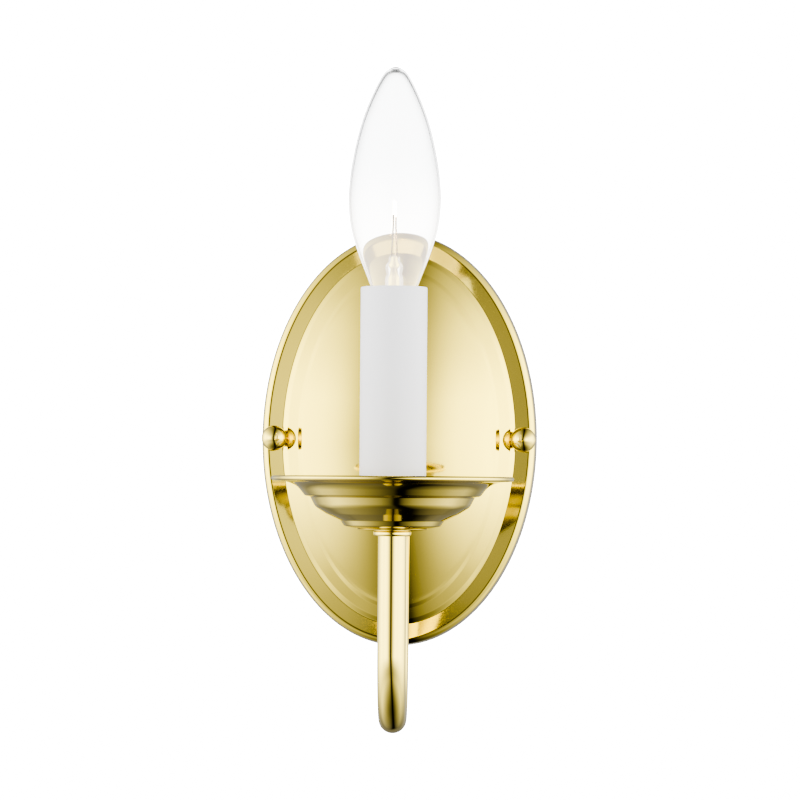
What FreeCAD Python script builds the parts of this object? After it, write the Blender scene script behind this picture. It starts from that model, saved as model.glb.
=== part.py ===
"""Electric wall sconce: an oval brass backplate carries one bent pipe arm, which holds a stepped drip pan,
a white candle sleeve and a clear candle lamp in a small screw socket.

Frame: the wall is the plane y = 0, the front of the sconce faces -Y and +Z is up. The origin is the middle
of the mounting strap on the wall, which is also the middle of the oval plate. Millimetres.
"""
import FreeCAD
import Part
import math
import os

V = FreeCAD.Vector

# ---- driving dimensions -------------------------------------------------------------------------------
CANDLE_Y = -92.0           # the candle's axis stands this far off the wall

PLATE_HALF_WIDTH = 50.8    # a four by six inch oval, measured on the wall
PLATE_HALF_HEIGHT = 76.2
PLATE_SHEET = 0.9
PLATE_CROWN = 6.2          # rise of the domed middle panel

SCREW_X = 45.5             # each mounting screw's distance from the middle
SCREW_RADIUS = 2.08        # an 8-32 machine screw
SCREW_FIT = 0.06           # radial play of the ball nut on its screw
SCREW_END_Y = -16.6

STRAP_SHEET = 1.5
STRAP_HALF_LENGTH = 48.9
STRAP_HALF_WIDTH = 8.0
STRAP_STEP = 2.6           # the strap's ends stand off the wall, to leave room for the screw heads
SLOT_SPACING = 69.85       # two and three quarter inches, a small outlet box's screws
SLOT_LENGTH = 8.0
SLOT_WIDTH = 4.4

BALL_RADIUS = 4.6
BALL_NECK = 3.2
BRIM_Y = -10.46            # the brim's face where the screws come through
NUT_WASHER_SHEET = 0.5

ARM_RADIUS = 4.9           # lamp pipe with the small ten-millimetre thread
ARM_BORE = 3.7
ARM_ENTRY_Z = -26.0        # where the arm leaves the plate
ARM_REAR_Y = -9.5
ARM_BACK_LEG_Y = -45.0
ARM_UPPER_BEND = 20.0      # bend radius of the pipe's centreline
ARM_LOW_Z = -98.9          # centreline at the bottom of the lower bend
ARM_TOP_Z = -24.4

PAN_RIM_RADIUS = 41.7
PAN_RIM_Z = -14.75         # middle of the rolled rim
PAN_FLOOR_Z = -31.75       # underside of the pan's bottom
PAN_SHEET = 0.8
PAN_SEAT_Z = -32.6         # underside of the disc that the pan sits on
COLLAR_FOOT_Z = -34.5

SLEEVE_RADIUS = 11.45
SLEEVE_WALL = 1.2
SLEEVE_TOP_Z = 51.0

SOCKET_RADIUS = 9.8
SOCKET_FOOT_Z = 17.5
SOCKET_FLOOR_Z = 24.5      # bottom of the socket's well
SOCKET_TOP_Z = 46.5
SOCKET_WELL = 6.5

THREAD_PITCH = 2.54        # the small lamp screw, ten threads to the inch
THREAD_SWING = 0.26        # half the depth of its rounded thread
LAMP_WIRE = 0.25            # radius of the nickel wires
LAMP_THREAD_RADIUS = 5.64  # mean radius of the lamp's screw shell
THREAD_PLAY = 0.13         # between the lamp's shell and the socket's
SHELL_SHEET = 0.3
LAMP_FOOT_Z = 28.9         # tip contact
GLASS_WALL = 0.7

WIRE_RADIUS = 1.0
WIRE_OFFSET = 1.25         # each lead runs this far to one side of the arm's centreline


# ---- small helpers ------------------------------------------------------------------------------------
def save(name, *solids):
    """Writes one node from one or more solids, and says what went into it."""
    shape = solids[0] if len(solids) == 1 else Part.makeCompound(list(solids))
    if not shape.Solids:
        raise ValueError(name + " is empty")
    for solid in shape.Solids:
        if not solid.isValid() or solid.Volume <= 0:
            raise ValueError(name + " has a bad solid")
    shape.exportStep("parts/" + name + ".step")
    print("%-20s solids %d  volume %.1f mm3" % (name, len(shape.Solids), shape.Volume))


def rod(radius, start, end):
    """A round bar from one point to another."""
    along = end - start
    return Part.makeCylinder(radius, along.Length, start, along)


def ring(outer, inner, start, end):
    """A round tube from one point to another."""
    return rod(outer, start, end).cut(rod(inner, start, end))


def block(low, high):
    """A box between two corners."""
    size = V(*high) - V(*low)
    return Part.makeBox(size.x, size.y, size.z, V(*low))


def hex_nut(across_flats, bore, start, end):
    """A six-sided nut between two points, its outer corners taken off by a cone."""
    along = end - start
    corner = across_flats / math.sqrt(3)
    flat = Part.makePolygon([V(corner * math.cos(math.radians(60 * i)), corner * math.sin(math.radians(60 * i)), 0)
                             for i in range(7)])
    nut = Part.Face(flat).extrude(V(0, 0, along.Length))
    chamfer = corner - across_flats / 2
    trim = Part.makeCylinder(corner, along.Length - chamfer)
    trim = trim.fuse(Part.makeCone(corner, corner - 1.6 * chamfer, chamfer, V(0, 0, along.Length - chamfer)))
    nut = nut.common(trim)
    if bore:
        nut = nut.cut(Part.makeCylinder(bore, along.Length))
    nut.Placement = FreeCAD.Placement(start, FreeCAD.Rotation(V(0, 0, 1), along))
    return nut


def turned(points):
    """A solid of revolution about the candle's axis, from a closed outline of (radius, z) points."""
    corners = [V(r, CANDLE_Y, z) for r, z in points]
    outline = Part.makePolygon(corners + [corners[0]])
    return Part.Face(outline).revolve(V(0, CANDLE_Y, 0), V(0, 0, 1), 360)


def turned_forward(points, x, z):
    """A solid of revolution about a line along -Y, from a closed outline of (radius, y) points."""
    corners = [V(x + r, y, z) for r, y in points]
    outline = Part.makePolygon(corners + [corners[0]])
    return Part.Face(outline).revolve(V(x, 0, z), V(0, 1, 0), 360)


def smoothed(corners, steps):
    """Rounds an open outline of (u, v, bend radius). Returns (u, v, normal u, normal v) for each point."""
    found = []
    last = len(corners) - 1
    for i, (u, v, radius) in enumerate(corners):
        here = V(u, v, 0)
        ahead = V(*corners[min(i + 1, last)][:2], 0) - here
        behind = here - V(*corners[max(i - 1, 0)][:2], 0)
        ahead = ahead if ahead.Length else behind
        behind = behind if behind.Length else ahead
        ahead.normalize()
        behind.normalize()
        if not radius:
            both = (ahead + behind).normalize()
            found.append((u, v, -both.y, both.x))
            continue
        turn = math.atan2(behind.x * ahead.y - behind.y * ahead.x, behind.dot(ahead))
        side = 1 if turn > 0 else -1
        start = here - behind * (radius * math.tan(abs(turn) / 2))
        centre = start + V(-behind.y, behind.x, 0) * (side * radius)
        spoke = start - centre
        for k in range(steps + 1):
            c, s = math.cos(turn * k / steps), math.sin(turn * k / steps)
            out = V(spoke.x * c - spoke.y * s, spoke.x * s + spoke.y * c, 0)
            point = centre + out
            out.normalize()
            found.append((point.x, point.y, -side * out.x, -side * out.y))
    return found


def rounded_path(points, radii):
    """A wire of straight runs joined by tangent arcs: one radius for each inner point."""
    edges = []
    last = points[0]
    for before, corner, after, radius in zip(points, points[1:], points[2:], radii):
        a = (before - corner).normalize()
        b = (after - corner).normalize()
        half = a.getAngle(b) / 2
        start = corner + a * (radius / math.tan(half))
        end = corner + b * (radius / math.tan(half))
        crest = corner + (a + b).normalize() * (radius / math.sin(half) - radius)
        if (start - last).Length > 0.001:
            edges.append(Part.LineSegment(last, start).toShape())
        edges.append(Part.Arc(start, crest, end).toShape())
        last = end
    edges.append(Part.LineSegment(last, points[-1]).toShape())
    return Part.Wire(edges)


def swept(path, radius):
    """A round bar along a path."""
    first = path.Edges[0]
    start = first.valueAt(first.FirstParameter)
    circle = Part.Wire(Part.makeCircle(radius, start, first.tangentAt(first.FirstParameter)))
    return path.makePipeShell([circle], True, False)


def threaded_bar(radius, low, high):
    """A bar with a rounded right-hand thread: a level circle carried up a thin helix without turning."""
    helix = Part.makeHelix(THREAD_PITCH, high - low, THREAD_SWING)
    circle = Part.Wire(Part.makeCircle(radius, V(THREAD_SWING, 0, 0), V(0, 0, 1)))
    sweep = Part.BRepOffsetAPI.MakePipeShell(helix)
    sweep.setTrihedronMode(V(0, 0, 0), V(0, 0, 1))
    sweep.add(circle, False, False)
    sweep.build()
    sweep.makeSolid()
    bar = sweep.shape()
    bar.rotate(V(0, 0, 0), V(0, 0, 1), 360 * low / THREAD_PITCH)
    bar.translate(V(0, CANDLE_Y, low))
    return bar


# ---- backplate ----------------------------------------------------------------------------------------
# The stamping's section from its edge inwards: distance in from the edge, height off the wall, bend radius.
# A steep side, a slightly dished brim, a step up to a sloping ledge, then a second step to the domed panel.
PLATE_SECTION = [
    (0.0, 0.0, 0.0),
    (1.1, 10.65, 2.2),
    (8.3, 9.85, 0.8),
    (10.0, 11.2, 1.2),
    (13.9, 12.35, 1.0),
    (15.3, 13.25, 1.2),
    (16.4, 13.65, 0.0),
]


def oval(inset, height, scale=1.0):
    """A level oval ring of the plate, standing off the wall."""
    centre = V(0, -height, 0)
    shape = Part.Ellipse(centre, (PLATE_HALF_HEIGHT - inset) * scale, (PLATE_HALF_WIDTH - inset) * scale).toShape()
    shape.rotate(centre, V(1, 0, 0), 90)
    shape.rotate(centre, V(0, 1, 0), 90)
    return Part.Wire(shape)


def plate_block(depth):
    """The filled oval below the stamping's face, or below its back when depth is the sheet's thickness."""
    points = [(inset - depth * nu, height - depth * nv) for inset, height, nu, nv in smoothed(PLATE_SECTION, 5)]
    if depth:
        points[0] = (depth, -1.0)
    ovals = [oval(inset, height) for inset, height in points]
    inset, height = points[-1]
    for step in range(1, 10):
        scale = 1 - step / 10.0
        ovals.append(oval(inset, height + PLATE_CROWN * (1 - scale * scale), scale))
    return Part.makeLoft(ovals, True, True)


def make_plate():
    face = plate_block(0.0)
    plate = face.cut(plate_block(PLATE_SHEET))
    for side in (-1, 1):
        plate = plate.cut(rod(SCREW_RADIUS + 0.35, V(side * SCREW_X, 0, 0), V(side * SCREW_X, -20, 0)))
    plate = plate.cut(rod(ARM_RADIUS + 0.1, V(0, 0, ARM_ENTRY_Z), V(0, -30, ARM_ENTRY_Z)))
    return face, plate


# ---- wall strap and its screws ------------------------------------------------------------------------
def make_strap():
    """A flat steel strip whose ends step away from the wall, with two slots and a pipe hole in its middle."""
    s, t = STRAP_STEP, STRAP_SHEET
    outline = [(-STRAP_HALF_LENGTH, -s), (-41.8, -s), (-39.6, 0), (39.6, 0), (41.8, -s), (STRAP_HALF_LENGTH, -s),
               (STRAP_HALF_LENGTH, -s - t), (41.0, -s - t), (38.8, -t), (-38.8, -t), (-41.0, -s - t),
               (-STRAP_HALF_LENGTH, -s - t)]
    corners = [V(x, y, -STRAP_HALF_WIDTH) for x, y in outline]
    strap = Part.Face(Part.makePolygon(corners + [corners[0]])).extrude(V(0, 0, 2 * STRAP_HALF_WIDTH))
    for side in (-1, 1):
        ends = rod(7.0, V(side * (STRAP_HALF_LENGTH - 7.0), 1, 0), V(side * (STRAP_HALF_LENGTH - 7.0), -9, 0))
        corner = block((min(side * 42.2, side * 60), -9, -20), (max(side * 42.2, side * 60), 1, 20))
        strap = strap.cut(corner.cut(ends))
        strap = strap.cut(rod(SCREW_RADIUS + 0.02, V(side * SCREW_X, 1, 0), V(side * SCREW_X, -9, 0)))
        middle = side * SLOT_SPACING / 2
        reach = (SLOT_LENGTH - SLOT_WIDTH) / 2
        slot = block((middle - reach, -9, -SLOT_WIDTH / 2), (middle + reach, 1, SLOT_WIDTH / 2))
        for end in (-reach, reach):
            slot = slot.fuse(rod(SLOT_WIDTH / 2, V(middle + end, 1, 0), V(middle + end, -9, 0)))
        strap = strap.cut(slot)
    strap = strap.cut(rod(5.15, V(0, 1, 0), V(0, -9, 0)))
    return strap.cut(rod(2.4, V(16, 1, 0), V(16, -9, 0)))


def make_strap_screw(x):
    """A pan head machine screw driven forward through the strap's threaded end."""
    head = [(0, -0.1), (2.6, -0.1), (3.3, -0.7), (3.5, -STRAP_STEP), (0, -STRAP_STEP)]
    head = turned_forward(head, x, 0)
    shank = [(0, -STRAP_STEP), (SCREW_RADIUS, -STRAP_STEP), (SCREW_RADIUS, SCREW_END_Y + 0.5),
             (SCREW_RADIUS - 0.5, SCREW_END_Y), (0, SCREW_END_Y)]
    slot = block((x - 5, -1.0, -0.5), (x + 5, 0.5, 0.5))
    return head.cut(slot).fuse(turned_forward(shank, x, 0)).removeSplitter()


def make_ground_screw():
    """A washer-faced hexagon head screw in the strap, for the earth wire."""
    head = hex_nut(6.4, 0, V(16, -2.6, 0), V(16, -5.0, 0))
    flange = rod(4.4, V(16, -STRAP_SHEET, 0), V(16, -2.6, 0))
    return head.fuse(flange).fuse(rod(2.38, V(16, -0.1, 0), V(16, -STRAP_SHEET, 0))).removeSplitter()


# ---- ball nuts ----------------------------------------------------------------------------------------
def make_ball_nut(x):
    """A solid brass ball on a short neck, bored blind for the screw."""
    seat = BRIM_Y - NUT_WASHER_SHEET - 0.02
    neck = BALL_NECK
    centre = seat - 0.8 - math.sqrt(BALL_RADIUS ** 2 - neck ** 2)
    ball = Part.makeSphere(BALL_RADIUS, V(x, centre, 0), V(0, 1, 0))
    ball = ball.fuse(rod(neck, V(x, seat, 0), V(x, centre, 0)))
    return ball.cut(rod(SCREW_RADIUS + SCREW_FIT, V(x, 0, 0), V(x, SCREW_END_Y - 0.6, 0))).removeSplitter()


def make_nut_washer(x, face):
    """A soft washer pressed to the slope of the brim, flat on the side that meets the ball's neck."""
    disc = ring(BALL_NECK, SCREW_RADIUS + 0.35, V(x, BRIM_Y + 0.8, 0), V(x, BRIM_Y - NUT_WASHER_SHEET - 0.02, 0))
    seat = face.copy()
    seat.translate(V(0, -0.02, 0))
    return disc.cut(seat)


# ---- arm ----------------------------------------------------------------------------------------------
def arm_points(x, rear, top):
    """Corners of the arm's centreline from the plate to the pan, for the pipe or for a lead inside it."""
    return [V(x, rear, ARM_ENTRY_Z), V(x, ARM_BACK_LEG_Y, ARM_ENTRY_Z), V(x, ARM_BACK_LEG_Y, ARM_LOW_Z),
            V(x, CANDLE_Y, ARM_LOW_Z), V(x, CANDLE_Y, top)]


LOWER_BEND = (ARM_BACK_LEG_Y - CANDLE_Y) / 2


def make_arm():
    path = rounded_path(arm_points(0, ARM_REAR_Y, ARM_TOP_Z), [ARM_UPPER_BEND, LOWER_BEND, LOWER_BEND])
    return swept(path, ARM_RADIUS).cut(swept(path, ARM_BORE))


def make_arm_hub(plate_face):
    """The turned flange brazed on the arm where it meets the plate, shaped to the panel's curve."""
    outline = [(ARM_RADIUS, -17.0), (8.6, -17.0), (8.6, -20.2), (8.2, -20.7), (7.4, -20.9), (7.0, -21.2),
               (6.7, -22.6), (6.2, -23.3), (ARM_RADIUS, -23.5)]
    return turned_forward(outline, 0, ARM_ENTRY_Z).cut(plate_face)


def make_arm_washer(plate_back):
    washer = ring(8.4, ARM_RADIUS + 0.1, V(0, -16.6, ARM_ENTRY_Z), V(0, -20, ARM_ENTRY_Z)).common(plate_back)
    for i in range(12):
        notch = block((7.2, -21, -0.6), (9.5, -16, 0.6))
        notch.rotate(V(0, 0, 0), V(0, 1, 0), 30 * i)
        notch.translate(V(0, 0, ARM_ENTRY_Z))
        washer = washer.cut(notch)
    return washer


def make_lead(side):
    """One insulated conductor, from the space behind the plate through the whole arm to the socket."""
    x = side * WIRE_OFFSET
    corners = [V(x, -5.5, 22)] + arm_points(x, -5.5, -17)
    corners += [V(side * 5.5, CANDLE_Y, 5), V(side * 5.5, CANDLE_Y, 19.9)]
    return swept(rounded_path(corners, [3.0, ARM_UPPER_BEND, LOWER_BEND, LOWER_BEND, 14, 14]), WIRE_RADIUS)


# ---- drip pan -----------------------------------------------------------------------------------------
# The spinning's outer face from the rim inwards: radius, z, bend radius. A flat flange turns down into the
# wall, steps in to the bowl, then steps once more above the flat bottom.
PAN_SECTION = [
    (41.2, -15.5, 0.0),
    (36.0, -15.9, 12.0),
    (32.6, -17.6, 6.0),
    (30.2, -20.7, 1.2),
    (28.3, -21.1, 0.7),
    (26.6, -24.5, 4.0),
    (22.6, -27.0, 8.0),
    (17.9, -29.2, 0.7),
    (16.6, -31.1, 1.2),
    (13.0, PAN_FLOOR_Z, 4.0),
    (ARM_RADIUS + 0.1, PAN_FLOOR_Z, 0.0),
]


def make_pan():
    """A spun brass pan with a rolled rim."""
    skin = smoothed(PAN_SECTION, 6)
    outer = [(r, z) for r, z, nr, nz in skin]
    inner = [(r - PAN_SHEET * nr, z - PAN_SHEET * nz) for r, z, nr, nz in skin]
    wall = turned(outer + inner[::-1])
    rim = Part.makeTorus(PAN_RIM_RADIUS - 0.85, 0.85, V(0, CANDLE_Y, PAN_RIM_Z), V(0, 0, 1))
    return wall.fuse(rim).removeSplitter()


def make_pan_seat():
    """The flat disc between the pan and the collar, its edge eased."""
    bore = ARM_RADIUS + 0.1
    return turned([(bore, PAN_FLOOR_Z), (11.9, PAN_FLOOR_Z), (12.2, PAN_FLOOR_Z - 0.25), (11.9, PAN_FLOOR_Z - 0.5),
                   (9.5, PAN_SEAT_Z), (bore, PAN_SEAT_Z)])


def make_collar():
    """The turned ring brazed on the pipe, which the disc and the pan sit on."""
    outline = [(ARM_RADIUS, PAN_SEAT_Z), (6.0, PAN_SEAT_Z), (6.35, -32.8), (6.5, -33.2), (6.5, -33.9),
               (6.35, -34.3), (6.0, COLLAR_FOOT_Z), (ARM_RADIUS, COLLAR_FOOT_Z)]
    return turned(outline)


# ---- socket -------------------------------------------------------------------------------------------
PAN_INSIDE_Z = PAN_FLOOR_Z + PAN_SHEET


def on_axis(z):
    return V(0, CANDLE_Y, z)


def make_bracket():
    """The steel bracket that screws onto the pipe and carries the socket."""
    low = PAN_INSIDE_Z + 3.5
    strip = block((-4, CANDLE_Y + 7.9, low), (4, CANDLE_Y + 8.9, SOCKET_FOOT_Z))
    tab = block((-4, CANDLE_Y + 2.4, SOCKET_FOOT_Z - 1.0), (4, CANDLE_Y + 8.9, SOCKET_FOOT_Z))
    foot = block((-4, CANDLE_Y + 5.0, low), (4, CANDLE_Y + 8.9, low + 1.0))
    eye = rod(7.4, on_axis(low), on_axis(low + 2.6))
    bracket = strip.fuse(tab).fuse(foot).fuse(eye).cut(rod(ARM_RADIUS, on_axis(low - 1), on_axis(low + 4)))
    return bracket.cut(rod(1.05, V(0, CANDLE_Y + 4.6, 10), V(0, CANDLE_Y + 4.6, 30))).removeSplitter()


def rivet(y, low, high, shank):
    """A rivet through the socket's floor with a flat head at each end."""
    at = CANDLE_Y + y
    bar = rod(shank, V(0, at, low), V(0, at, high))
    return bar.fuse(rod(1.7, V(0, at, low - 0.6), V(0, at, low))).fuse(rod(1.7, V(0, at, high), V(0, at, high + 0.6)))


def make_socket_body():
    """The moulded barrel of the socket, with a thick floor drilled for its rivets and leads."""
    body = rod(SOCKET_RADIUS, on_axis(SOCKET_FOOT_Z), on_axis(SOCKET_TOP_Z))
    body = body.cut(rod(SOCKET_WELL, on_axis(SOCKET_FLOOR_Z), on_axis(SOCKET_TOP_Z)))
    body = body.cut(rod(1.02, V(0, CANDLE_Y + 4.6, 10), V(0, CANDLE_Y + 4.6, 30)))
    body = body.cut(rod(0.92, V(0, CANDLE_Y - 4.2, 10), V(0, CANDLE_Y - 4.2, 30)))
    for side in (-1, 1):
        body = body.cut(rod(WIRE_RADIUS + 0.1, V(side * 5.5, CANDLE_Y, 10), V(side * 5.5, CANDLE_Y, 20.1)))
    return body


def make_socket_contact():
    """The springy leaf the lamp's tip presses on."""
    outline = [(-5.8, 24.5), (-2.2, 24.5), (-1.0, 28.4), (1.4, 28.4), (2.0, 26.8), (2.4, 26.95), (1.7, 28.8),
               (-1.3, 28.8), (-2.5, 24.9), (-5.8, 24.9)]
    corners = [V(-1.6, CANDLE_Y + y, z) for y, z in outline]
    leaf = Part.Face(Part.makePolygon(corners + [corners[0]])).extrude(V(3.2, 0, 0))
    return leaf.cut(rod(0.92, V(0, CANDLE_Y - 4.2, 20), V(0, CANDLE_Y - 4.2, 26)))


def make_socket_shell():
    play = LAMP_THREAD_RADIUS + THREAD_PLAY
    return threaded_bar(play + SHELL_SHEET, 25.7, 45.2).cut(threaded_bar(play, 25.7, 45.2))


def make_sleeve():
    """The candle tube: a plain white plastic tube with its top lip eased."""
    inner = SLEEVE_RADIUS - SLEEVE_WALL
    foot = PAN_INSIDE_Z + 0.05
    return turned([(inner, foot), (SLEEVE_RADIUS, foot), (SLEEVE_RADIUS, SLEEVE_TOP_Z - 0.4),
                   (SLEEVE_RADIUS - 0.4, SLEEVE_TOP_Z), (inner + 0.2, SLEEVE_TOP_Z), (inner, SLEEVE_TOP_Z - 0.2)])


# ---- lamp ---------------------------------------------------------------------------------------------
# The envelope's outside from the neck up: radius, z.
GLASS_PROFILE = [
    (5.0, 45.3), (5.75, 46.2), (6.75, 48.2), (8.15, 51.3), (10.0, 56.0), (12.3, 62.0), (14.5, 69.4), (15.5, 75.0),
    (15.875, 81.6), (15.4, 88.5), (14.65, 93.9), (13.0, 102.1), (10.6, 110.3), (7.25, 118.5), (4.3, 124.0),
    (2.0, 126.0), (0.0, 126.6),
]



def make_glass():
    """The blown envelope: an even wall that thickens toward the drawn-out tip."""
    outer = Part.BSplineCurve()
    outer.interpolate([V(r, CANDLE_Y, z) for r, z in GLASS_PROFILE])
    inside = []
    for k in range(1, 31):
        at = outer.parameterAtDistance(outer.length() * k / 33.0, outer.FirstParameter)
        point, slope = outer.value(at), outer.tangent(at)[0]
        wall = GLASS_WALL + 0.9 * (k / 30.0) ** 6
        inside.append(V(point.x - wall * slope.z, CANDLE_Y, point.z + wall * slope.x))
    inside.insert(0, V(5.0 - GLASS_WALL, CANDLE_Y, 45.3))
    top = V(0, CANDLE_Y, inside[-1].z + inside[-1].x * 0.55)
    inner = Part.BSplineCurve()
    inner.interpolate(inside + [top])
    edges = [outer.toShape(), Part.LineSegment(V(0, CANDLE_Y, GLASS_PROFILE[-1][1]), top).toShape(),
             inner.toShape(), Part.LineSegment(inside[0], V(5.0, CANDLE_Y, 45.3)).toShape()]
    body = Part.Face(Part.Wire(Part.__sortEdges__(edges))).revolve(V(0, CANDLE_Y, 0), V(0, 0, 1), 360)
    neck = ring(5.0, 5.0 - GLASS_WALL, on_axis(40.0), on_axis(45.3))
    return body.fuse(neck).removeSplitter()


def make_lamp_shell():
    shell = threaded_bar(LAMP_THREAD_RADIUS, 32.4, 45.2)
    return shell.cut(threaded_bar(LAMP_THREAD_RADIUS - SHELL_SHEET, 32.4, 45.2))


def make_lamp_insulator():
    """The dark glass cone between the shell and the tip."""
    return turned([(0, 30.0), (2.7, 30.0), (5.05, 32.5), (5.05, 33.6), (0, 33.6)])


def make_tip_contact():
    return turned([(0, LAMP_FOOT_Z), (1.4, LAMP_FOOT_Z), (2.2, 29.3), (2.5, 30.0), (0, 30.0)])


def make_stem():
    """The glass mount inside the neck: a flare, a tube and the pressed end that grips the wires."""
    stem = turned([(0, 40.2), (4.2, 40.2), (4.2, 41.0), (3.3, 44.5), (3.1, 48.0), (3.1, 54.0), (2.6, 55.6),
                   (3.0, 57.4), (2.9, 58.6), (2.0, 59.8), (1.9, 61.2), (1.4, 61.8), (0, 62.0)])
    for side in (-1, 1):
        stem = stem.cut(rod(LAMP_WIRE, on_axis(61.0) + V(side * 0.9, 0, 0), on_axis(62.5) + V(side * 0.9, 0, 0)))
    return stem


def make_lamp_wires():
    """Two nickel wires out of the stem that spread to hold the filament's ends."""
    found = []
    for side in (-1, 1):
        path = rounded_path([on_axis(61.0) + V(side * 0.9, 0, 0), on_axis(64.0) + V(side * 0.9, 0, 0),
                             on_axis(72.0) + V(side * 0.3, side * 5.0, 0),
                             on_axis(75.5) + V(side * 0.3, side * 5.0, 0)], [2.0, 1.5])
        found.append(swept(path, LAMP_WIRE))
    return found


def make_filament():
    """The coiled tungsten between the wires' ends, drawn as the round bar its fine coil fills."""
    path = rounded_path([on_axis(75.5) + V(-0.3, -5.0, 0), on_axis(80.5) + V(-0.2, -2.8, 0), on_axis(78.0),
                         on_axis(80.5) + V(0.2, 2.8, 0), on_axis(75.5) + V(0.3, 5.0, 0)], [0.8, 0.8, 0.8])
    return swept(path, 0.3)


# ---- build --------------------------------------------------------------------------------------------
os.makedirs("parts", exist_ok=True)

plate_face, plate = make_plate()
save("backplate", plate)
save("wall_strap", make_strap())
save("strap_screw_left", make_strap_screw(-SCREW_X))
save("strap_screw_right", make_strap_screw(SCREW_X))
save("ground_screw", make_ground_screw())
save("nut_washer_left", make_nut_washer(-SCREW_X, plate_face))
save("nut_washer_right", make_nut_washer(SCREW_X, plate_face))
save("ball_nut_left", make_ball_nut(-SCREW_X))
save("ball_nut_right", make_ball_nut(SCREW_X))

save("arm_tube", make_arm())
save("arm_hub", make_arm_hub(plate_face))
save("arm_washer", make_arm_washer(plate_block(PLATE_SHEET)))
save("arm_nut", hex_nut(14.3, ARM_RADIUS, V(0, -16.6, ARM_ENTRY_Z), V(0, -13.1, ARM_ENTRY_Z)))
save("lead_black", make_lead(-1))
save("lead_white", make_lead(1))

save("drip_pan", make_pan())
save("pan_seat", make_pan_seat())
save("pan_collar", make_collar())
save("pan_nut", hex_nut(14.3, ARM_RADIUS, on_axis(PAN_INSIDE_Z), on_axis(PAN_INSIDE_Z + 3.5)))
save("socket_bracket", make_bracket())
save("bracket_rivet", rivet(4.6, SOCKET_FOOT_Z - 1.0, SOCKET_FLOOR_Z, 1.0))
save("socket_body", make_socket_body())
save("contact_rivet", rivet(-4.2, SOCKET_FOOT_Z, SOCKET_FLOOR_Z + 0.4, 0.9))
save("socket_contact", make_socket_contact())
save("socket_shell", make_socket_shell())
save("candle_sleeve", make_sleeve())

save("bulb_glass", make_glass())
save("bulb_shell", make_lamp_shell())
save("bulb_insulator", make_lamp_insulator())
save("bulb_tip_contact", make_tip_contact())
save("bulb_stem", make_stem())
save("bulb_wires", *make_lamp_wires())
save("bulb_filament", make_filament())
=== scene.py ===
"""A polished brass wall sconce with one imitation candle: its visible surfaces and its light."""
import math

import bmesh
import bpy
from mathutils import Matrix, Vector


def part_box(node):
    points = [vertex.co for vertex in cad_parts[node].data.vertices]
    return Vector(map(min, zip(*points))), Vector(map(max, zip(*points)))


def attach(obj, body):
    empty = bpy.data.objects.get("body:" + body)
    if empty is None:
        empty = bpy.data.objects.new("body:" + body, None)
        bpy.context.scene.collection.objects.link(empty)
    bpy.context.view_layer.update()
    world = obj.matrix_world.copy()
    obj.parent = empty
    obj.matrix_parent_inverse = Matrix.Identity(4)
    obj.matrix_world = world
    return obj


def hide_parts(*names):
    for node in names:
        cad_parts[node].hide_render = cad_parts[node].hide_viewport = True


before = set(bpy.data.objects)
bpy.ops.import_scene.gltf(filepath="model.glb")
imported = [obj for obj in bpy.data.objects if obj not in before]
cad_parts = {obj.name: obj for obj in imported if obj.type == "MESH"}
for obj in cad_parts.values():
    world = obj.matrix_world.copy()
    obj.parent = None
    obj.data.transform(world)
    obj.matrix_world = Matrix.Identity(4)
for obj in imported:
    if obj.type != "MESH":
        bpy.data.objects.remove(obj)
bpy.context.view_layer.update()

# The oval backplate is stamped from brass sheet: a steep rolled side, a dished brim for the two ball nuts,
# then two steps up to a gently domed middle. It is buffed to a mirror and lacquered, so it is all
# reflection, with only the faint waviness that a press and a buffing wheel leave in thin sheet.
MM = 0.001
PLATE_HALF_WIDTH = 50.8
PLATE_HALF_HEIGHT = 76.2
PLATE_SHEET = 0.9
PLATE_CROWN = 6.2
PLATE_SIDES = 360
DOME_RINGS = 32
PLATE_SECTION = [
    (0.0, 0.0, 0.0),
    (1.1, 10.65, 2.2),
    (8.3, 9.85, 0.8),
    (10.0, 11.2, 1.2),
    (13.9, 12.35, 1.0),
    (15.3, 13.25, 1.2),
    (16.4, 13.65, 0.0),
]
BRASS = "#F2DD76"
SHEET_BRASS = "#F2DC6C"


def linear(code):
    """An sRGB hex colour as linear red, green, blue and alpha."""
    parts = [int(code[i:i + 2], 16) / 255 for i in (1, 3, 5)]
    return [c / 12.92 if c <= 0.04045 else ((c + 0.055) / 1.055) ** 2.4 for c in parts] + [1.0]


def add_node(tree, kind, links=(), **settings):
    """Adds a node. Keys that name an input set it; a link is (input, output socket)."""
    node = tree.nodes.new(kind)
    for key, value in settings.items():
        if key[0].isupper() or key.isdigit():
            slot = int(key) if key.isdigit() else key.replace("_", " ")
            node.inputs[slot].default_value = value
        else:
            setattr(node, key, value)
    for slot, socket in links:
        tree.links.new(socket, node.inputs[slot])
    return node


def new_material(name, **surface):
    """A material with one Principled surface. Returns it with its tree and its shader."""
    material = bpy.data.materials.new(name)
    material.use_nodes = True
    tree = material.node_tree
    shader = tree.nodes["Principled BSDF"]
    for key, value in surface.items():
        shader.inputs[key.replace("_", " ")].default_value = value
    return material, tree, shader


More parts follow.
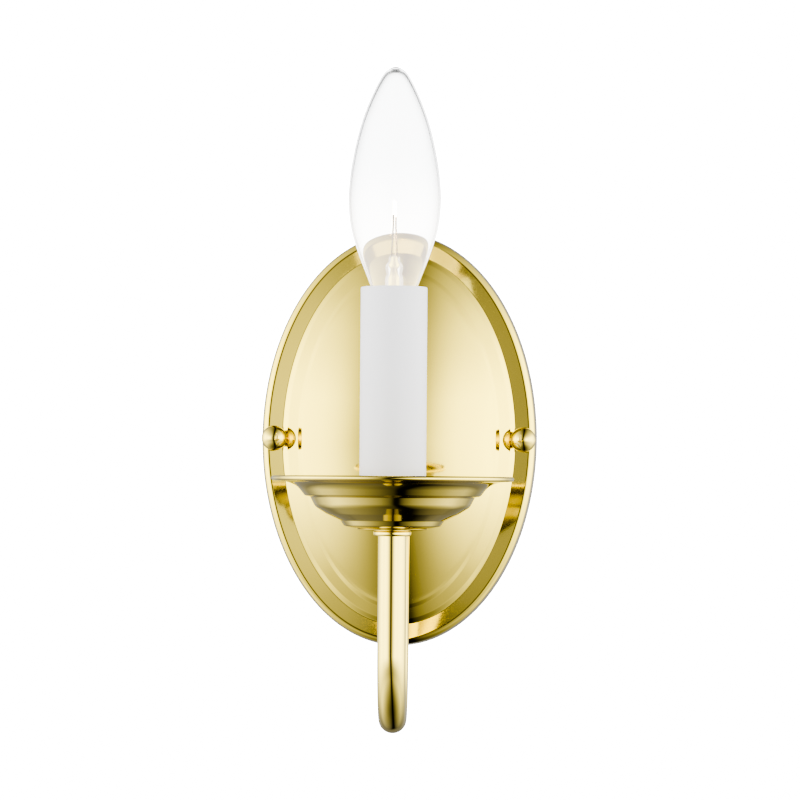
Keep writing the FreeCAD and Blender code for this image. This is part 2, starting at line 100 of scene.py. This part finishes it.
def eased(corners, steps=12):
    """Rounds an open outline of (u, v, bend radius). Returns (u, v, normal u, normal v) for each point."""
    found = []
    last = len(corners) - 1
    for i, (u, v, radius) in enumerate(corners):
        here = Vector((u, v))
        ahead = Vector(corners[min(i + 1, last)][:2]) - here
        behind = here - Vector(corners[max(i - 1, 0)][:2])
        ahead = (ahead if ahead.length else behind).normalized()
        behind = (behind if behind.length else ahead).normalized()
        if not radius:
            both = (ahead + behind).normalized()
            found.append((u, v, -both.y, both.x))
            continue
        turn = math.atan2(behind.x * ahead.y - behind.y * ahead.x, behind.dot(ahead))
        side = 1 if turn > 0 else -1
        start = here - behind * (radius * math.tan(abs(turn) / 2))
        centre = start + Vector((-behind.y, behind.x)) * (side * radius)
        spoke = start - centre
        for k in range(steps + 1):
            c, s = math.cos(turn * k / steps), math.sin(turn * k / steps)
            out = Vector((spoke.x * c - spoke.y * s, spoke.x * s + spoke.y * c))
            point = centre + out
            out.normalize()
            found.append((point.x, point.y, -side * out.x, -side * out.y))
    return found


def with_flats(outline, end=0.12):
    """Adds a point just inside both ends of each flat run of an outline, so that flats are shaded flat."""
    found = []
    for a, b in zip(outline, outline[1:]):
        found.append(a)
        share = end / math.hypot(b[0] - a[0], b[1] - a[1])
        if share < 0.25:
            for t in (share, 1 - share):
                found.append(tuple(p + (q - p) * t for p, q in zip(a, b)))
    return found + [outline[-1]]


def skin_rings(name, rings, sharp=40):
    """Joins rings of points, or single points at a pole, into one closed smooth mesh object."""
    mesh = bpy.data.meshes.new(name)
    body = bmesh.new()
    made = [[body.verts.new([c * MM for c in point]) for point in ring] for ring in rings]
    for low, high in zip(made, made[1:] + made[:1]):
        if len(low) == 1 and len(high) == 1:
            continue
        count = max(len(low), len(high))
        for k in range(count):
            n = (k + 1) % count
            corners = [low[k % len(low)], low[n % len(low)], high[n % len(high)], high[k % len(high)]]
            body.faces.new(list(dict.fromkeys(corners)))
    bmesh.ops.recalc_face_normals(body, faces=body.faces)
    body.to_mesh(mesh)
    body.free()
    mesh.shade_smooth()
    mesh.set_sharp_from_angle(angle=math.radians(sharp))
    piece = bpy.data.objects.new(name, mesh)
    bpy.context.collection.objects.link(piece)
    return piece


def plate_rings(depth):
    """The oval rings of the face, or of the back at a depth under it, from the wall to the middle."""
    rings = []
    outline = [(u - depth * nu, v - depth * nv) for u, v, nu, nv in with_flats(eased(PLATE_SECTION))]
    if depth:
        outline[0] = (depth, 0.0)
    around = [2 * math.pi * k / PLATE_SIDES for k in range(PLATE_SIDES)]
    for inset, height in outline:
        wide, tall = PLATE_HALF_WIDTH - inset, PLATE_HALF_HEIGHT - inset
        rings.append([(wide * math.cos(a), -height, tall * math.sin(a)) for a in around])
    for step in range(1, DOME_RINGS + 1):
        size = 1 - step / DOME_RINGS
        rise = height + PLATE_CROWN * (1 - size * size)
        ring = [(wide * size * math.cos(a), -rise, tall * size * math.sin(a)) for a in around]
        rings.append(ring if size else [(0, -rise, 0)])
    return rings


plate = skin_rings("plate_sheet", plate_rings(0.0) + plate_rings(PLATE_SHEET)[::-1], 60)

# Lacquered mirror brass: a yellow metal whose every tone is a reflection. The buffing leaves a waviness
# some tens of millimetres long and hairlines far finer than a millimetre, drawn here coarse enough to
# catch light.
brass, tree, shader = new_material("lacquered_mirror_brass", Base_Color=linear(BRASS), Metallic=1.0,
                                   Coat_Weight=0.25, Coat_Roughness=0.03, Coat_IOR=1.5)
where = add_node(tree, "ShaderNodeTexCoord").outputs["Object"]
waves = add_node(tree, "ShaderNodeTexNoise", [("Vector", where)], Scale=60.0, Detail=1.0, Roughness=0.4)
hairs = add_node(tree, "ShaderNodeTexNoise", [("Vector", where)], Scale=2200.0, Detail=2.0, Roughness=0.6)
haze = add_node(tree, "ShaderNodeMapRange", [("Value", hairs.outputs["Fac"])], From_Min=0.3, From_Max=0.75,
                To_Min=0.045, To_Max=0.085)
tree.links.new(haze.outputs["Result"], shader.inputs["Roughness"])
swell = add_node(tree, "ShaderNodeBump", [("Height", waves.outputs["Fac"])],
                 Strength=0.05, Distance=0.0002)
tree.links.new(swell.outputs["Normal"], shader.inputs["Normal"])
# Thin sheet takes a slightly deeper yellow than the turned and drawn pieces.
sheet_brass = brass.copy()
sheet_brass.name = "lacquered_brass_sheet"
sheet_brass.node_tree.nodes["Principled BSDF"].inputs["Base Color"].default_value = linear(SHEET_BRASS)
plate.data.materials.append(sheet_brass)
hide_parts("backplate")
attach(plate, "fixture")

# Two solid brass balls, turned and bored blind, screw onto the mounting screws and hold the plate to its
# strap. Each has a short neck that bears on a thin washer.
BALL_RADIUS = 4.6
BALL_NECK = 3.2
BALL_NECK_LENGTH = 0.8
BALL_BORE = 2.14
BALL_BORE_DEPTH = 6.0
BALL_ARC_POINTS = 64


def turned(name, outline, centre, axis=(0, 0, 1), sides=192, sharp=40):
    """A piece of revolution from a closed (radius, height along the axis) outline."""
    along = Vector(axis)
    turn = Vector((0, 0, 1)).rotation_difference(along)
    rings = []
    for radius, height in outline:
        count = sides if radius > 1e-6 else 1
        angles = [2 * math.pi * k / count for k in range(count)]
        spots = [turn @ Vector((radius * math.cos(a), radius * math.sin(a), height)) for a in angles]
        rings.append([spot + Vector(centre) for spot in spots])
    return skin_rings(name, rings, sharp)


washer_front = -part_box("nut_washer_left")[0][1] / MM
ball_middle = washer_front + BALL_NECK_LENGTH + math.sqrt(BALL_RADIUS ** 2 - BALL_NECK ** 2)
ball_outline = [(BALL_BORE, washer_front + BALL_BORE_DEPTH), (BALL_BORE, washer_front + 0.3),
                (BALL_BORE + 0.3, washer_front), (BALL_NECK - 0.2, washer_front),
                (BALL_NECK, washer_front + 0.2)]
start = math.acos(BALL_NECK / BALL_RADIUS) - 0.03
for k in range(BALL_ARC_POINTS):
    angle = -start + (math.pi / 2 + start) * k / (BALL_ARC_POINTS - 1)
    ball_outline.append((BALL_RADIUS * math.cos(angle) if k < BALL_ARC_POINTS - 1 else 0.0,
                         ball_middle + BALL_RADIUS * math.sin(angle)))
ball_outline.append((0.0, washer_front + BALL_BORE_DEPTH))
for side in ("left", "right"):
    low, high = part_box("ball_nut_" + side)
    centre = ((low[0] + high[0]) / 2 / MM, 0.0, 0.0)
    ball = turned("ball_" + side, ball_outline, centre, (0, -1, 0))
    ball.data.materials.append(brass)
    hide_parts("ball_nut_" + side)
    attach(ball, "nut_" + side)

# One length of brass lamp pipe makes the arm. It leaves the plate level, turns down in a round bend, then
# up again in a half circle under the pan. It was bent on a former, so its section stays round.
ARM_RADIUS = 4.9
ARM_BORE = 3.7
ARM_CORNERS = [(-9.5, -26.0, 0.0), (-45.0, -26.0, 20.0), (-45.0, -98.9, 23.49), (-92.0, -98.9, 23.49),
               (-92.0, -24.4, 0.0)]


def bent_pipe_tree():
    """Node tree: rounds a path's corners by each point's radius, then sweeps a round wall along it."""
    group = bpy.data.node_groups.new("bent_pipe", "GeometryNodeTree")
    group.interface.new_socket("Path", in_out="INPUT", socket_type="NodeSocketGeometry")
    group.interface.new_socket("Pipe Radius", in_out="INPUT", socket_type="NodeSocketFloat")
    group.interface.new_socket("Sides", in_out="INPUT", socket_type="NodeSocketInt")
    group.interface.new_socket("Finish", in_out="INPUT", socket_type="NodeSocketMaterial")
    group.interface.new_socket("Pipe", in_out="OUTPUT", socket_type="NodeSocketGeometry")
    given = group.nodes.new("NodeGroupInput").outputs
    line = add_node(group, "GeometryNodeMeshToCurve", [("Mesh", given["Path"])])
    bends = add_node(group, "GeometryNodeInputNamedAttribute", data_type="FLOAT", Name="bend")
    round_path = add_node(group, "GeometryNodeFilletCurve", [("Curve", line.outputs["Curve"]),
                          ("Radius", bends.outputs["Attribute"])], mode="POLY", Count=48)
    hoop = add_node(group, "GeometryNodeCurvePrimitiveCircle", [("Radius", given["Pipe Radius"]),
                    ("Resolution", given["Sides"])])
    wall = add_node(group, "GeometryNodeCurveToMesh", [("Curve", round_path.outputs["Curve"]),
                    ("Profile Curve", hoop.outputs["Curve"])])
    smooth = add_node(group, "GeometryNodeSetShadeSmooth", [("Geometry", wall.outputs["Mesh"])])
    real = add_node(group, "GeometryNodeRealizeInstances", [("Geometry", smooth.outputs["Geometry"])])
    finish = add_node(group, "GeometryNodeSetMaterial", [("Geometry", real.outputs["Geometry"]),
                      ("Material", given["Finish"])])
    add_node(group, "NodeGroupOutput", [("Pipe", finish.outputs["Geometry"])])
    return group


def grow(name, group, source, **values):
    """Runs a node tree on an object's data and returns the result as a plain mesh object."""
    maker = source.modifiers.new(name, "NODES")
    maker.node_group = group
    sockets = {s.name: s.identifier for s in group.interface.items_tree if s.in_out == "INPUT"}
    for key, value in values.items():
        maker[sockets[key.replace("_", " ")]] = value
    source.data.update_tag()
    shown = source.evaluated_get(bpy.context.evaluated_depsgraph_get())
    mesh = bpy.data.meshes.new_from_object(shown)
    piece = bpy.data.objects.new(name, mesh)
    bpy.context.collection.objects.link(piece)
    bpy.data.objects.remove(source)
    return piece


path = bpy.data.meshes.new("arm_path")
path.from_pydata([(0, y * MM, z * MM) for y, z, bend in ARM_CORNERS], [(k, k + 1) for k in range(4)], [])
bend_sizes = path.attributes.new("bend", "FLOAT", "POINT")
bend_sizes.data.foreach_set("value", [bend * MM for y, z, bend in ARM_CORNERS])
path = bpy.data.objects.new("arm_path", path)
bpy.context.collection.objects.link(path)
arm = grow("arm_pipe", bent_pipe_tree(), path, Pipe_Radius=ARM_RADIUS * MM, Sides=96, Finish=brass)
# The pipe's open ends are sharp edges, so that its wall is shaded true right up to them.
edges = bmesh.new()
edges.from_mesh(arm.data)
for edge in edges.edges:
    edge.smooth = not edge.is_boundary
edges.to_mesh(arm.data)
edges.free()
wall = arm.modifiers.new("pipe_wall", "SOLIDIFY")
wall.thickness = (ARM_RADIUS - ARM_BORE) * MM
wall.offset = -1
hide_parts("arm_tube")
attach(arm, "fixture")

# The turned flange that hides the pipe's hole in the plate is brazed to the pipe and polished with it.
HUB_OUTLINE = [(4.9, 17.8, 0.0), (8.6, 17.8, 0.0), (8.6, 20.6, 0.6), (7.3, 20.9, 0.5), (6.9, 22.9, 1.0),
               (4.9, 23.5, 0.0)]
hub = turned("arm_flange", [point[:2] for point in eased(HUB_OUTLINE, 8)], (0, 0, -26.0), (0, -1, 0))
hub.data.materials.append(brass)
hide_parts("arm_hub")
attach(hub, "fixture")

# The drip pan is spun from brass sheet over a chuck: a rolled rim, a flat flange, then two rounded steps
# down to its flat bottom. It sits on a thin disc and a small collar brazed to the pipe.
CANDLE_Y = -92.0
PAN_SHEET = 0.8
PAN_RIM_RADIUS = 41.7
PAN_RIM_Z = -14.75
PAN_ROLL = 0.85
PAN_FLOOR_Z = -31.75
PAN_SECTION = [
    (41.2, -15.5, 0.0),
    (36.0, -15.9, 12.0),
    (32.6, -17.6, 6.0),
    (30.2, -20.7, 1.2),
    (28.3, -21.1, 0.7),
    (26.6, -24.5, 4.0),
    (22.6, -27.0, 8.0),
    (17.9, -29.2, 0.7),
    (16.6, -31.1, 1.2),
    (13.0, PAN_FLOOR_Z, 4.0),
    (5.0, PAN_FLOOR_Z, 0.0),
]
face = eased(PAN_SECTION)
outside = [(r, z) for r, z, nr, nz in face]
inside = [(r - PAN_SHEET * nr, z - PAN_SHEET * nz) for r, z, nr, nz in face]
roll = []
for k in range(1, 28):
    angle = math.radians(-60 + 300 * k / 28)
    roll.append((PAN_RIM_RADIUS - PAN_ROLL + PAN_ROLL * math.cos(angle),
                 PAN_RIM_Z + PAN_ROLL * math.sin(angle)))
pan_outline = inside[:0:-1] + [(39.9, -15.0)] + roll[::-1] + outside
pan = turned("spun_pan", pan_outline, (0, CANDLE_Y, 0), sides=320)
pan.data.materials.append(brass)
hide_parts("drip_pan")
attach(pan, "fixture")

# The disc under the pan thins toward its rounded edge.
SEAT_OUTLINE = [(5.0, -31.75), (11.9, -31.75), (12.1, -31.83), (12.2, -32.0), (12.1, -32.17),
                (11.9, -32.25), (9.5, -32.6), (5.0, -32.6)]
seat = turned("pan_disc", SEAT_OUTLINE, (0, CANDLE_Y, 0), sharp=30)
seat.data.materials.append(brass)
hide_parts("pan_seat")
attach(seat, "fixture")

# The collar is a plain bead ring.
COLLAR_OUTLINE = eased([(4.9, -32.6, 0.0), (6.5, -32.6, 0.75), (6.5, -34.5, 0.75), (4.9, -34.5, 0.0)], 10)
collar = turned("pan_ring", [point[:2] for point in COLLAR_OUTLINE], (0, CANDLE_Y, 0))
collar.data.materials.append(brass)
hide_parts("pan_collar")
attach(collar, "fixture")

# The candle is a plain extruded tube of white plastic, cut to length and slipped over the socket. Its top
# edge is eased. The surface is smooth and satin.
SLEEVE_RADIUS = 11.45
SLEEVE_BORE = 10.25
SLEEVE_TOP = 51.0
SLEEVE_EDGE = 0.4
sleeve_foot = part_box("candle_sleeve")[0][2] / MM
sleeve_outline = [(SLEEVE_BORE, sleeve_foot), (SLEEVE_RADIUS, sleeve_foot)]
for k in range(7):
    angle = math.radians(15 * k)
    sleeve_outline.append((SLEEVE_RADIUS - SLEEVE_EDGE + SLEEVE_EDGE * math.cos(angle),
                           SLEEVE_TOP - SLEEVE_EDGE + SLEEVE_EDGE * math.sin(angle)))
sleeve_outline += [(SLEEVE_BORE + 0.2, SLEEVE_TOP), (SLEEVE_BORE, SLEEVE_TOP - 0.2)]
sleeve = turned("candle_tube", sleeve_outline, (0, CANDLE_Y, 0), sharp=50)

# Matt-white rigid plastic: even and slightly blue-white, its extrusion lines only just breaking the sheen.
candle_white, tree, shader = new_material("extruded_white_plastic", Base_Color=linear("#F3F3F5"),
                                          Roughness=0.42, IOR=1.49)
where = add_node(tree, "ShaderNodeTexCoord").outputs["Object"]
drawn = add_node(tree, "ShaderNodeMapping", [("Vector", where)], Scale=(1.0, 1.0, 0.02))
lines = add_node(tree, "ShaderNodeTexNoise", [("Vector", drawn.outputs["Vector"])],
                 Scale=900.0, Detail=2.0)
grain = add_node(tree, "ShaderNodeBump", [("Height", lines.outputs["Fac"])],
                 Strength=0.04, Distance=0.0001)
tree.links.new(grain.outputs["Normal"], shader.inputs["Normal"])
sleeve.data.materials.append(candle_white)
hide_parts("candle_sleeve")
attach(sleeve, "sleeve")

# The lamp's envelope is blown clear glass, thin at its belly and thicker at the tip where it was drawn off
# and sealed. Its neck is cemented into the screw cap.
GLASS_WALL = 0.7
GLASS_PROFILE = [
    (5.0, 45.3), (5.75, 46.2), (6.75, 48.2), (8.15, 51.3), (10.0, 56.0), (12.3, 62.0), (14.5, 69.4),
    (15.5, 75.0), (15.875, 81.6), (15.4, 88.5), (14.65, 93.9), (13.0, 102.1), (10.6, 110.3), (7.25, 118.5),
    (4.3, 124.0), (2.0, 126.0), (0.0, 126.6),
]


def smooth_through(points, steps):
    """A smooth open curve through the given points."""
    ends = [tuple(2 * a - b for a, b in zip(points[0], points[1])), (-points[-2][0], points[-2][1])]
    knots = [ends[0]] + list(points) + [ends[1]]
    found = []
    for a, b, c, d in zip(knots, knots[1:], knots[2:], knots[3:]):
        for k in range(steps):
            t = k / steps
            found.append(tuple(0.5 * (2 * q + (r - p) * t + (2 * p - 5 * q + 4 * r - s) * t * t
                                      + (3 * q - p - 3 * r + s) * t ** 3)
                               for p, q, r, s in zip(a, b, c, d)))
    return found + [tuple(points[-1])]


outer = smooth_through(GLASS_PROFILE, 8)
inner = []
for k in range(1, len(outer) - 1):
    slope = (Vector(outer[k + 1]) - Vector(outer[k - 1])).normalized()
    thick = GLASS_WALL + 0.9 * (k / len(outer)) ** 6
    spot = (outer[k][0] - thick * slope.y, outer[k][1] + thick * slope.x)
    if spot[0] > 0.4:
        inner.append(spot)
inner.append((0.0, inner[-1][1] + 0.2))
neck = [(5.0 - GLASS_WALL, 45.3), (5.0 - GLASS_WALL, 40.0), (5.0, 40.0)]
glass_outline = outer + inner[::-1] + neck
glass = turned("lamp_glass", glass_outline, (0, CANDLE_Y, 0), sides=160, sharp=60)

# Blown soda glass: clear and perfectly smooth, with the slow ripple that blowing leaves.
clear_glass, tree, shader = new_material("blown_clear_glass", Base_Color=linear("#FDFEFE"), Roughness=0.0,
                                         IOR=1.48, Transmission_Weight=1.0)
where = add_node(tree, "ShaderNodeTexCoord").outputs["Object"]
ripple = add_node(tree, "ShaderNodeTexNoise", [("Vector", where)], Scale=45.0, Detail=1.0)
draw = add_node(tree, "ShaderNodeBump", [("Height", ripple.outputs["Fac"])],
                Strength=0.05, Distance=0.0003)
tree.links.new(draw.outputs["Normal"], shader.inputs["Normal"])
# Painted glow: the glass is given a warm emission of its own, full up to a little below the filament and
# fading out toward the tip, standing in for the lit filament's glare in the envelope.
PAINTED_GLOW = 0.22
PAINTED_GLOW_FROM, PAINTED_GLOW_TO = 66.0, 98.0
height = add_node(tree, "ShaderNodeSeparateXYZ", [("Vector", where)]).outputs["Z"]
painted_glow = add_node(tree, "ShaderNodeMapRange", [("Value", height)], interpolation_type="SMOOTHSTEP",
                From_Min=PAINTED_GLOW_FROM * MM, From_Max=PAINTED_GLOW_TO * MM, To_Min=PAINTED_GLOW, To_Max=0.0)
# The warm emission colour of the painted glow in the glass.
shader.inputs["Emission Color"].default_value = linear("#FFEFD8")
tree.links.new(painted_glow.outputs["Result"], shader.inputs["Emission Strength"])
glass.data.materials.append(clear_glass)
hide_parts("bulb_glass")
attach(glass, "lamp")

# The mount inside the neck is a flared glass tube, pinched flat round the wires at its upper end.
STEM_OUTLINE = [(0.0, 40.2), (4.2, 40.2), (4.2, 41.0), (3.3, 44.5), (3.1, 48.0), (3.1, 54.0), (2.6, 55.6),
                (3.0, 57.4), (2.9, 58.6), (2.0, 59.8), (1.9, 61.2), (1.4, 61.8), (0.0, 62.0)]
stem = turned("lamp_stem", STEM_OUTLINE, (0, CANDLE_Y, 0), sides=64, sharp=80)
# The stem shares the glass material, so it carries the same painted glow.
stem.data.materials.append(clear_glass)
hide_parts("bulb_stem")
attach(stem, "lamp")

# The filament is coiled tungsten wire hung between its two support wires, white hot when the lamp is lit.
COIL_PATH = [(-0.3, -5.0, 75.5), (-0.2, -2.8, 80.5), (0.0, 0.0, 78.0), (0.2, 2.8, 80.5), (0.3, 5.0, 75.5)]
COIL_RADIUS = 0.22
COIL_WIRE = 0.07
COIL_PITCH = 0.26
coil = bpy.data.meshes.new("coil_path")
spine = [Vector(point) for point in COIL_PATH]
turns = []
for a, b in zip(spine, spine[1:]):
    count = max(2, int((b - a).length / COIL_PITCH * 10))
    for k in range(count):
        turns.append(a.lerp(b, k / count))
coil_points = []
for k, spot in enumerate(turns):
    angle = 2 * math.pi * k / 10
    coil_points.append(((spot.x + COIL_RADIUS * math.cos(angle)) * MM,
                        (spot.y + CANDLE_Y + COIL_RADIUS * 0.5 * math.sin(angle)) * MM,
                        (spot.z + COIL_RADIUS * 0.8 * math.sin(angle)) * MM))
coil.from_pydata(coil_points, [(k, k + 1) for k in range(len(coil_points) - 1)], [])
coil.attributes.new("bend", "FLOAT", "POINT")
coil = bpy.data.objects.new("coil_path", coil)
bpy.context.collection.objects.link(coil)
hot = new_material("white_hot_tungsten", Base_Color=linear("#8A7F70"), Metallic=1.0, Roughness=0.4,
                   Emission_Color=linear("#FFD9A0"), Emission_Strength=300.0)[0]
filament = grow("lamp_coil", bpy.data.node_groups["bent_pipe"], coil, Pipe_Radius=COIL_WIRE * MM, Sides=6,
                Finish=hot)
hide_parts("bulb_filament")
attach(filament, "lamp")

# Pieces that the camera sees little of keep their exact shape and take their own finish: bright zinc steel
# for the strap and its hardware, moulded phenolic for the socket, drawn brass for the screw shell and
# contacts.


def plated(name, colour, rough, fine_mm, metal=1.0):
    """A finish with the slight cloudiness of plating or moulding, its mottle sized in millimetres."""
    material, tree, shader = new_material(name, Base_Color=linear(colour), Metallic=metal)
    where = add_node(tree, "ShaderNodeTexCoord").outputs["Object"]
    cloud = add_node(tree, "ShaderNodeTexNoise", [("Vector", where)], Scale=1000.0 / fine_mm, Detail=3.0)
    spread = add_node(tree, "ShaderNodeMapRange", [("Value", cloud.outputs["Fac"])], From_Min=0.3,
                      From_Max=0.7, To_Min=rough * 0.8, To_Max=rough * 1.25)
    tree.links.new(spread.outputs["Result"], shader.inputs["Roughness"])
    lumps = add_node(tree, "ShaderNodeBump", [("Height", cloud.outputs["Fac"])],
                     Strength=0.1, Distance=0.0001)
    tree.links.new(lumps.outputs["Normal"], shader.inputs["Normal"])
    return material


zinc = plated("bright_zinc_steel", "#C9CCD0", 0.28, 4.0)
finishes = {
    zinc: ["wall_strap", "strap_screw_left", "strap_screw_right", "arm_washer", "arm_nut", "pan_nut",
           "socket_bracket", "bracket_rivet"],
    brass: ["nut_washer_left", "nut_washer_right"],
    plated("green_plated_steel", "#2E7D45", 0.35, 2.0): ["ground_screw"],
    plated("black_wire_insulation", "#1B1B1C", 0.45, 1.0, 0.0): ["lead_black"],
    plated("white_wire_insulation", "#E9E8E4", 0.45, 1.0, 0.0): ["lead_white"],
    plated("moulded_phenolic", "#1F1A17", 0.38, 1.5, 0.0): ["socket_body"],
    plated("drawn_socket_brass", "#D8B96A", 0.22, 3.0): ["contact_rivet", "socket_contact",
                                                         "socket_shell"],
    plated("nickel_plated_cap", "#CFC7B4", 0.2, 3.0): ["bulb_shell"],
    plated("black_vitrite", "#121216", 0.12, 1.0, 0.0): ["bulb_insulator"],
    plated("tin_solder", "#B4B5B8", 0.35, 1.0): ["bulb_tip_contact"],
    plated("nickel_support_wire", "#B9B4AB", 0.25, 1.0): ["bulb_wires"],
}
for finish, nodes in finishes.items():
    for node in nodes:
        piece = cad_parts[node]
        piece.data.materials.clear()
        piece.data.materials.append(finish)

# A pale floor well below the sconce, and a white light tent with a dark slot where the camera looks in.
# The tent is brightest level with the sconce and has an open back, so bright metal shows its edges dark.
# The floor is lit but kept out of the metal's reflections, as a black cloth under a product would keep it.
FLOOR_DROP = 0.5
FLOOR_HALF = 3.9
corners = [(x * FLOOR_HALF, y * FLOOR_HALF, -FLOOR_DROP) for x, y in ((-1, -1), (1, -1), (1, 1), (-1, 1))]
floor = bpy.data.meshes.new("floor")
floor.from_pydata(corners, [], [(0, 1, 2, 3)])
floor = bpy.data.objects.new("floor", floor)
bpy.context.collection.objects.link(floor)
floor.visible_glossy = False
pale, tree, shader = new_material("pale_floor_paint", Base_Color=linear("#D6D5D0"), Roughness=0.7)
where = add_node(tree, "ShaderNodeTexCoord").outputs["Object"]
speck = add_node(tree, "ShaderNodeTexNoise", [("Vector", where)], Scale=300.0, Detail=2.0)
rough = add_node(tree, "ShaderNodeBump", [("Height", speck.outputs["Fac"])],
                 Strength=0.05, Distance=0.0002)
tree.links.new(rough.outputs["Normal"], shader.inputs["Normal"])
floor.data.materials.append(pale)

# How bright the tent is by the upward part of a direction, by how far it is sideways from the slot, and by
# its backward part. The slot is a little left of the middle, runs to the right above and below the sconce,
# and is closed behind it. A white card in front, level with the sconce, adds light on both sides of it.
TENT_BY_HEIGHT = [(-1.0, 0.16), (-0.8, 0.36), (-0.6, 0.6), (-0.45, 0.53), (-0.3, 0.66), (-0.1, 0.95),
                  (0.0, 1.0), (0.3, 0.98), (0.5, 0.72), (0.65, 0.55), (0.8, 0.45), (1.0, 0.3)]
TENT_BY_SIDE = [(0.0, 0.01), (0.04, 0.02), (0.07, 0.07), (0.1, 0.14), (0.15, 0.22), (0.3, 0.4),
                (0.5, 0.58), (0.65, 0.75), (0.8, 1.0), (0.95, 1.3), (1.2, 1.35)]
TENT_BY_BACK = [(-1.0, 1.0), (0.3, 1.0), (0.6, 0.75), (0.85, 0.38), (1.0, 0.12)]
CARD_BY_HEIGHT = [(-1.0, 0.0), (-0.35, 0.05), (-0.2, 0.45), (-0.08, 1.0), (0.12, 1.0), (0.25, 0.5),
                  (0.42, 0.1), (1.0, 0.0)]
CARD_BY_SIDE = [(0.0, 0.0), (0.18, 0.0), (0.28, 0.25), (0.42, 0.8), (0.5, 1.0), (0.7, 1.0), (0.85, 0.4),
                (1.2, 0.2)]
TENT_STRENGTH = 3.0
CARD_STRENGTH = 2.0
SLOT_PLACE = -0.09
SLOT_LEAN = 0.22
tent = bpy.data.worlds.new("light_tent")
bpy.context.scene.world = tent
tent.use_nodes = True
tree = tent.node_tree
tree.nodes.clear()
look = add_node(tree, "ShaderNodeTexCoord").outputs["Generated"]
axes = add_node(tree, "ShaderNodeSeparateXYZ", [("Vector", look)]).outputs
level = add_node(tree, "ShaderNodeMath", [(0, axes["Z"])], operation="ABSOLUTE")
slot_line = add_node(tree, "ShaderNodeMath", [(0, level.outputs[0])], operation="MULTIPLY_ADD",
                     **{"1": SLOT_LEAN, "2": SLOT_PLACE})
from_slot = add_node(tree, "ShaderNodeMath", [(0, axes["X"]), (1, slot_line.outputs[0])],
                     operation="SUBTRACT")
off_slot = add_node(tree, "ShaderNodeMath", [(0, from_slot.outputs[0])], operation="ABSOLUTE")
behind = add_node(tree, "ShaderNodeMath", [(0, axes["Y"]), (1, level.outputs[0])], operation="SUBTRACT")
aside = add_node(tree, "ShaderNodeMath", [(0, off_slot.outputs[0]), (1, behind.outputs[0])],
                 operation="MAXIMUM").outputs[0]


def lit_by(strength, *bands):
    """The product of several ramps, each (a number socket, its stops), times a strength."""
    glow = None
    for way, stops in bands:
        low, high = stops[0][0], stops[-1][0]
        spread = add_node(tree, "ShaderNodeMapRange", [("Value", way)], From_Min=low, From_Max=high)
        ramp = add_node(tree, "ShaderNodeValToRGB", [("Fac", spread.outputs["Result"])])
        for place, value in stops[1:-1]:
            spot = (place - low) / (high - low)
            ramp.color_ramp.elements.new(spot).color = (value, value, value, 1.0)
        for end in (0, -1):
            ramp.color_ramp.elements[end].color = (stops[end][1],) * 3 + (1.0,)
        product = add_node(tree, "ShaderNodeMath", [(0, ramp.outputs["Color"])], operation="MULTIPLY",
                           **{"1": strength})
        if glow:
            tree.links.new(glow, product.inputs[1])
        glow = product.outputs[0]
    return glow


walls = lit_by(TENT_STRENGTH, (axes["Z"], TENT_BY_HEIGHT), (aside, TENT_BY_SIDE),
               (axes["Y"], TENT_BY_BACK))
front = add_node(tree, "ShaderNodeMath", [(0, axes["Y"])], operation="LESS_THAN", **{"1": 0.1})
card = lit_by(CARD_STRENGTH, (axes["Z"], CARD_BY_HEIGHT), (aside, CARD_BY_SIDE))
glow = add_node(tree, "ShaderNodeMath", [(0, card), (1, front.outputs[0]), (2, walls)],
                operation="MULTIPLY_ADD")
# Matt surfaces get some even light as well. Straight ahead the tent is plain white. Seen through clear
# glass it is white where the light passes almost straight, and dims where thick glass bends it, which
# outlines the lamp.
EVEN_LIGHT = 0.45
WHITE_SEEN = 9.0
WHITE_THROUGH_GLASS = 4.8
DIM_THROUGH_GLASS = 0.5
ray = add_node(tree, "ShaderNodeLightPath").outputs
even = add_node(tree, "ShaderNodeMath", [(0, ray["Is Diffuse Ray"]), (2, glow.outputs[0])],
                operation="MULTIPLY_ADD", **{"1": EVEN_LIGHT})
seen = add_node(tree, "ShaderNodeMix", [("Factor", ray["Is Camera Ray"]), ("A", even.outputs[0])],
                data_type="FLOAT", B=WHITE_SEEN)
bent = add_node(tree, "ShaderNodeMapRange", [("Value", axes["Y"])], From_Min=0.82, From_Max=0.985,
                To_Min=DIM_THROUGH_GLASS, To_Max=WHITE_THROUGH_GLASS)
through = add_node(tree, "ShaderNodeMix", [("Factor", ray["Is Transmission Ray"]),
                   ("A", seen.outputs["Result"]), ("B", bent.outputs["Result"])], data_type="FLOAT")
tent_light = add_node(tree, "ShaderNodeBackground", [("Strength", through.outputs["Result"])])
add_node(tree, "ShaderNodeOutputWorld", [("Surface", tent_light.outputs["Background"])])
bpy.context.scene.view_settings.look = "AgX - High Contrast"

# The camera stands level with the pan's rim, a little over a metre off and slightly to the right.
camera = bpy.data.cameras.new("camera")
camera.sensor_width = 36.0
camera.lens = 157.5
camera.shift_y = 0.1106
camera.clip_end = 50.0
eye = bpy.data.objects.new("camera", camera)
bpy.context.collection.objects.link(eye)
eye.location = (0.0316, -1.2934, -0.0181)
eye.rotation_euler = (math.radians(90.0), math.radians(-0.44), math.radians(1.386))
bpy.context.scene.camera = eye
